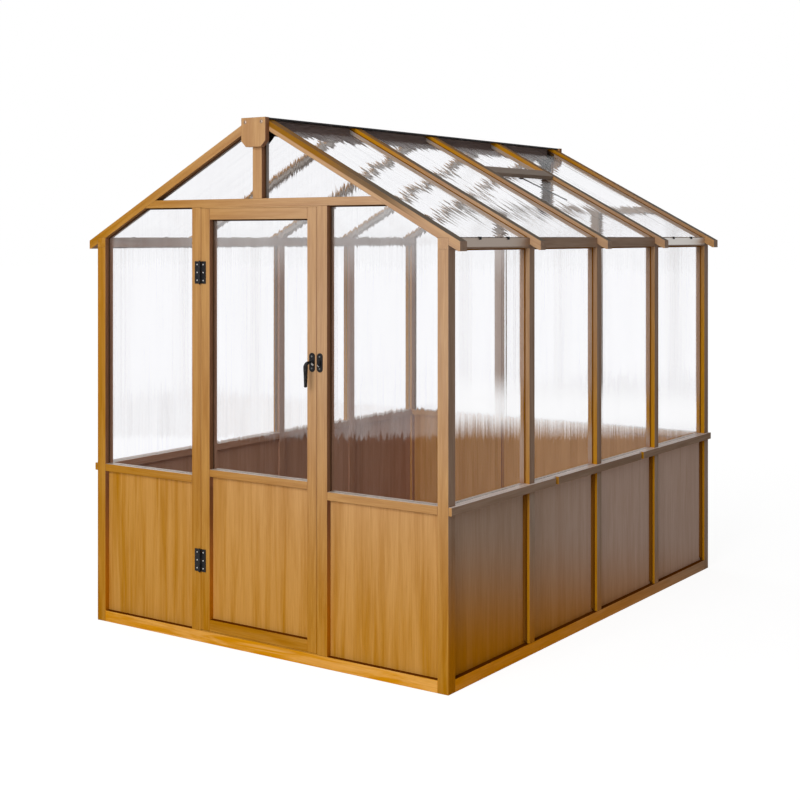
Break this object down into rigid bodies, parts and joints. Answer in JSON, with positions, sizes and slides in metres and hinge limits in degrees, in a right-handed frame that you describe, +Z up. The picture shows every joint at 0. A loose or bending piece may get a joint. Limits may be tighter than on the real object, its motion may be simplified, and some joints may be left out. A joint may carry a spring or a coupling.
{
  "type": "wooden greenhouse",
  "caption": "Apex-roofed timber greenhouse with solid lower panels, clear fluted sheets above and in the roof, and a hinged gable door with a lever latch.",
  "frame": {"origin": "on the ground at the middle of the greenhouse's plan", "axes": "+Y from the door gable to the back, +X to the right seen from the door, +Z up"},
  "size_m": [1.932, 2.5265, 2.163],
  "materials": {
    "frame_wood": "satin",
    "panel_wood": "satin",
    "clear_sheet": "glossy, clear twin-wall plastic",
    "dark_wood": "satin",
    "black_metal": "satin",
    "screw_steel": "satin"
  },
  "bodies": {
    "greenhouse": {"front_posts": "frame_wood", "back_posts": "frame_wood", "door_jambs": "frame_wood", "back_studs": "frame_wood", "left_studs": "frame_wood", "right_studs": "frame_wood", "end_bottom_rails": "frame_wood", "side_bottom_rails": "frame_wood", "front_mid_rails": "frame_wood", "back_mid_rails": "frame_wood", "side_mid_rails": "frame_wood", "left_sill": "frame_wood", "right_sill": "frame_wood", "left_top_rail": "frame_wood", "right_top_rail": "frame_wood", "headers": "frame_wood", "door_stop": "frame_wood", "king_posts": "frame_wood", "gussets": "frame_wood", "ridge_brackets": "black_metal", "left_rafters": "frame_wood", "right_rafters": "frame_wood", "ridge_board": "dark_wood", "ridge_cap": "black_metal", "front_panels": "panel_wood", "back_panels": "panel_wood", "left_panels": "panel_wood", "right_panels": "panel_wood", "front_glazing": "clear_sheet", "back_glazing": "clear_sheet", "left_glazing": "clear_sheet", "right_glazing": "clear_sheet", "gable_glazing": "clear_sheet", "left_roof_sheets": "clear_sheet", "right_roof_sheets": "clear_sheet", "vent_rail": "frame_wood", "vent_sheet": "clear_sheet", "vent_stay": "black_metal", "frame_hinges": "black_metal", "latch_keeper": "black_metal"},
    "door": {"door_stiles": "frame_wood", "door_rails": "frame_wood", "door_panel": "panel_wood", "door_glazing": "clear_sheet", "door_hinges": "black_metal", "handle_plate": "black_metal"},
    "door_lever": {"lever": "black_metal"}
  },
  "joints": [
    {"name": "door_swing", "type": "hinge", "parent": "greenhouse", "child": "door", "pos_m": [-0.3065, -1.2315, 0.9375], "axis": [0, 0, -1], "range_deg": [0, 170]},
    {"name": "lever_turn", "type": "hinge", "parent": "door", "child": "door_lever", "pos_m": [0.282, -1.25, 1.191], "axis": [0, 1, 0], "range_deg": [0, 90]}
  ]
}
